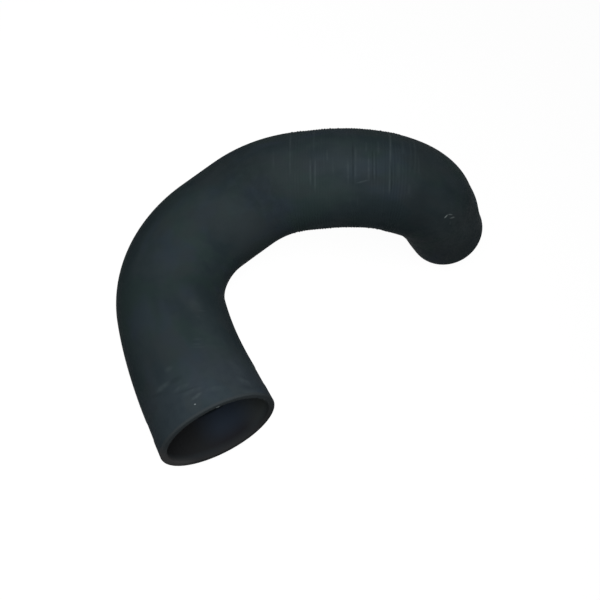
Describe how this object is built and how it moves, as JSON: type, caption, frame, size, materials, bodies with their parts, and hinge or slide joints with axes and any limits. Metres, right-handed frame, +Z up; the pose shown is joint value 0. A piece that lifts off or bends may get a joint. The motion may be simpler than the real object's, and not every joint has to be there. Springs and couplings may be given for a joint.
{
  "type": "air intake hose",
  "caption": "Moulded black rubber air intake hose with a tight bend, a finely ribbed middle and a narrower turned-down outlet.",
  "frame": {"origin": "middle of the bounding box at floor level, with the hose lying as it comes to rest", "axes": "+Z up; +X along the hose's longest extent, from the inlet's end to the outlet's; the inlet's mouth faces -Y and a little up"},
  "size_m": [0.3514, 0.203, 0.1429],
  "materials": {
    "rubber": "satin black with a faint blue-green cast, dry and slightly scuffed"
  },
  "bodies": {
    "root": {"hose": "rubber"}
  },
  "joints": []
}
